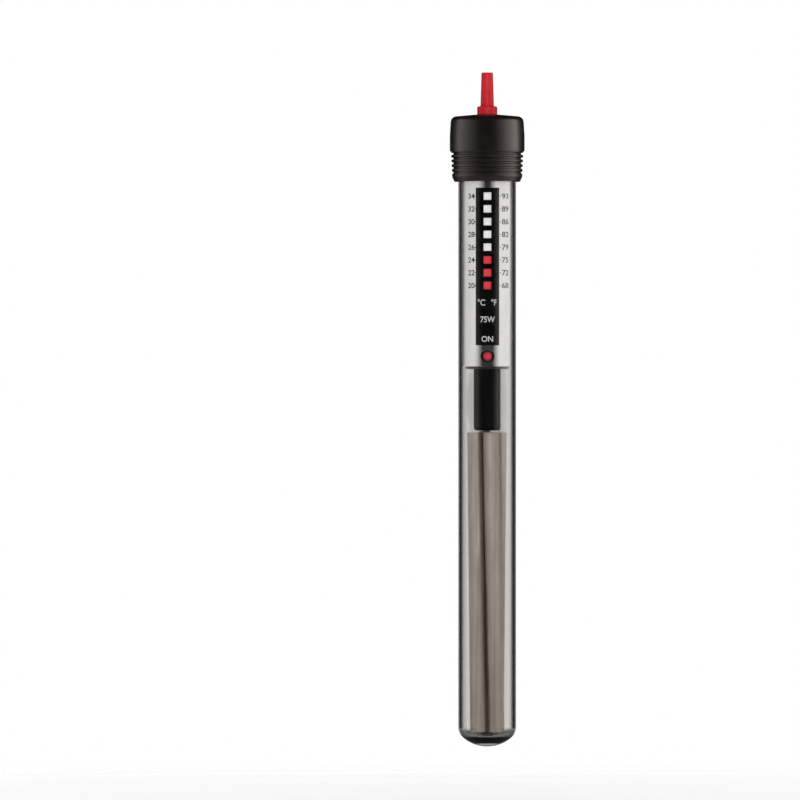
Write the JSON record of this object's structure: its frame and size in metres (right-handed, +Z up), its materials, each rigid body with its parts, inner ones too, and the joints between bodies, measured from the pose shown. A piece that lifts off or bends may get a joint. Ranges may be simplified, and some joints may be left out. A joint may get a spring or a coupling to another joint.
{
  "type": "submersible aquarium heater",
  "caption": "Slim sealed glass aquarium heater with a black ribbed cap, turning red adjuster, windowed temperature scale and a bundle of ceramic heating tubes.",
  "frame": {"origin": "on the tube's axis, in the middle of the stretch of glass that holder rings grip, 110 mm above the tip", "axes": "+Z up along the tube towards the cap; the temperature scale faces -Y; the cord inlet is on the +Y side of the cap's top"},
  "size_m": [0.0285, 0.0284, 0.2569],
  "materials": {
    "glass": "clear borosilicate, polished",
    "cap_plastic": "satin moulded",
    "collar_rubber": "satin",
    "seal_rubber": "matte",
    "red_plastic": "semi-gloss moulded",
    "indicator_red": "semi-gloss",
    "drum_white": "semi-gloss",
    "shaft_nylon": "natural nylon",
    "scale_film": "silvery printed film",
    "black_film": "gloss printed film",
    "frame_plastic": "glass-filled nylon",
    "guide_plastic": "natural nylon",
    "brass": "machined",
    "steel": "turned",
    "spring_brass": "rolled strip",
    "bimetal": "rolled bimetal",
    "contact_silver": "silver alloy",
    "ferrite": "sintered ferrite",
    "lamp_red": "clear red lens",
    "bezel_dark": "dark red ring",
    "neon_glass": "clear bulb",
    "resistor_body": "coated",
    "capacitor_body": "epoxy dipped",
    "fuse_body": "pressed can",
    "tinned_wire": "tinned copper",
    "red_sleeving": "silicone insulation",
    "white_sleeving": "silicone insulation",
    "crimp_metal": "tinned brass",
    "mica": "mica board",
    "block_black": "moulded phenolic",
    "ceramic": "unglazed steatite",
    "core_ceramic": "unglazed steatite",
    "nichrome": "drawn resistance wire"
  },
  "bodies": {
    "housing": {"glass_tube": "glass", "head_cap": "cap_plastic", "ribbed_collar": "collar_rubber", "seal_bung": "seal_rubber", "cord_gland": "seal_rubber", "shaft_bush": "brass", "shaft_seals": "seal_rubber", "scale_sleeve": "scale_film", "window_strip": "black_film", "upper_guide": "guide_plastic", "thermostat_frame": "frame_plastic", "screw_insert": "brass", "lever_pin": "steel", "snap_magnet": "ferrite", "bimetal_terminal": "spring_brass", "clamp_rivet": "brass", "lamp_bezel": "bezel_dark", "lamp_lens": "lamp_red", "neon_lamp": "neon_glass", "lamp_resistor": "resistor_body", "lamp_leads": "tinned_wire", "suppression_capacitor": "capacitor_body", "capacitor_leads": "tinned_wire", "live_lead": "red_sleeving", "heater_lead": "white_sleeving", "neutral_lead": "white_sleeving", "thermal_fuse": "fuse_body", "crimp_connectors": "crimp_metal", "heat_shield": "mica", "frame_screws": "steel", "insulator_block": "block_black", "ceramic_tube_1": "ceramic", "ceramic_tube_2": "ceramic", "ceramic_tube_3": "ceramic", "ceramic_tube_4": "ceramic", "heating_coils": "nichrome", "core_tube": "core_ceramic", "core_rod": "steel", "core_washer": "mica", "core_nut": "steel", "lower_jumpers": "nichrome", "upper_jumper": "nichrome"},
    "adjuster": {"adjuster_knob": "red_plastic", "adjuster_shaft": "shaft_nylon", "shaft_clip": "steel", "indicator_drum": "drum_white", "red_indicator": "indicator_red"},
    "screw": {"set_screw": "steel"},
    "lever": {"set_lever": "spring_brass", "lever_contact": "contact_silver"},
    "bimetal": {"bimetal_strip": "bimetal", "strip_contact": "contact_silver", "armature_plate": "steel"}
  },
  "joints": [
    {"name": "adjuster_turn", "type": "hinge", "parent": "housing", "child": "adjuster", "pos_m": [0, 0, 0.1309], "axis": [0, 0, -1], "range_deg": [-85.71, 214.29]},
    {"name": "screw_advance", "type": "slide", "parent": "adjuster", "child": "screw", "axis": [0, 0, -1], "range_m": [-0.00012, 0.0003]},
    {"name": "lever_tilt", "type": "hinge", "parent": "housing", "child": "lever", "pos_m": [0.003, 0, 0.0522], "axis": [0, -1, 0], "range_deg": [-2.3, 5.7]},
    {"name": "bimetal_bend", "type": "hinge", "parent": "housing", "child": "bimetal", "pos_m": [0.0059, 0, 0.0393], "axis": [0, -1, 0], "range_deg": [-1.5, 1], "stiffness_Nm_per_rad": 0.01}
  ],
  "couplings": [
    {"joint": "screw_advance", "follows": "adjuster_turn", "m_per_rad": 0.000079577},
    {"joint": "lever_tilt", "follows": "adjuster_turn", "ratio": 0.026526}
  ]
}
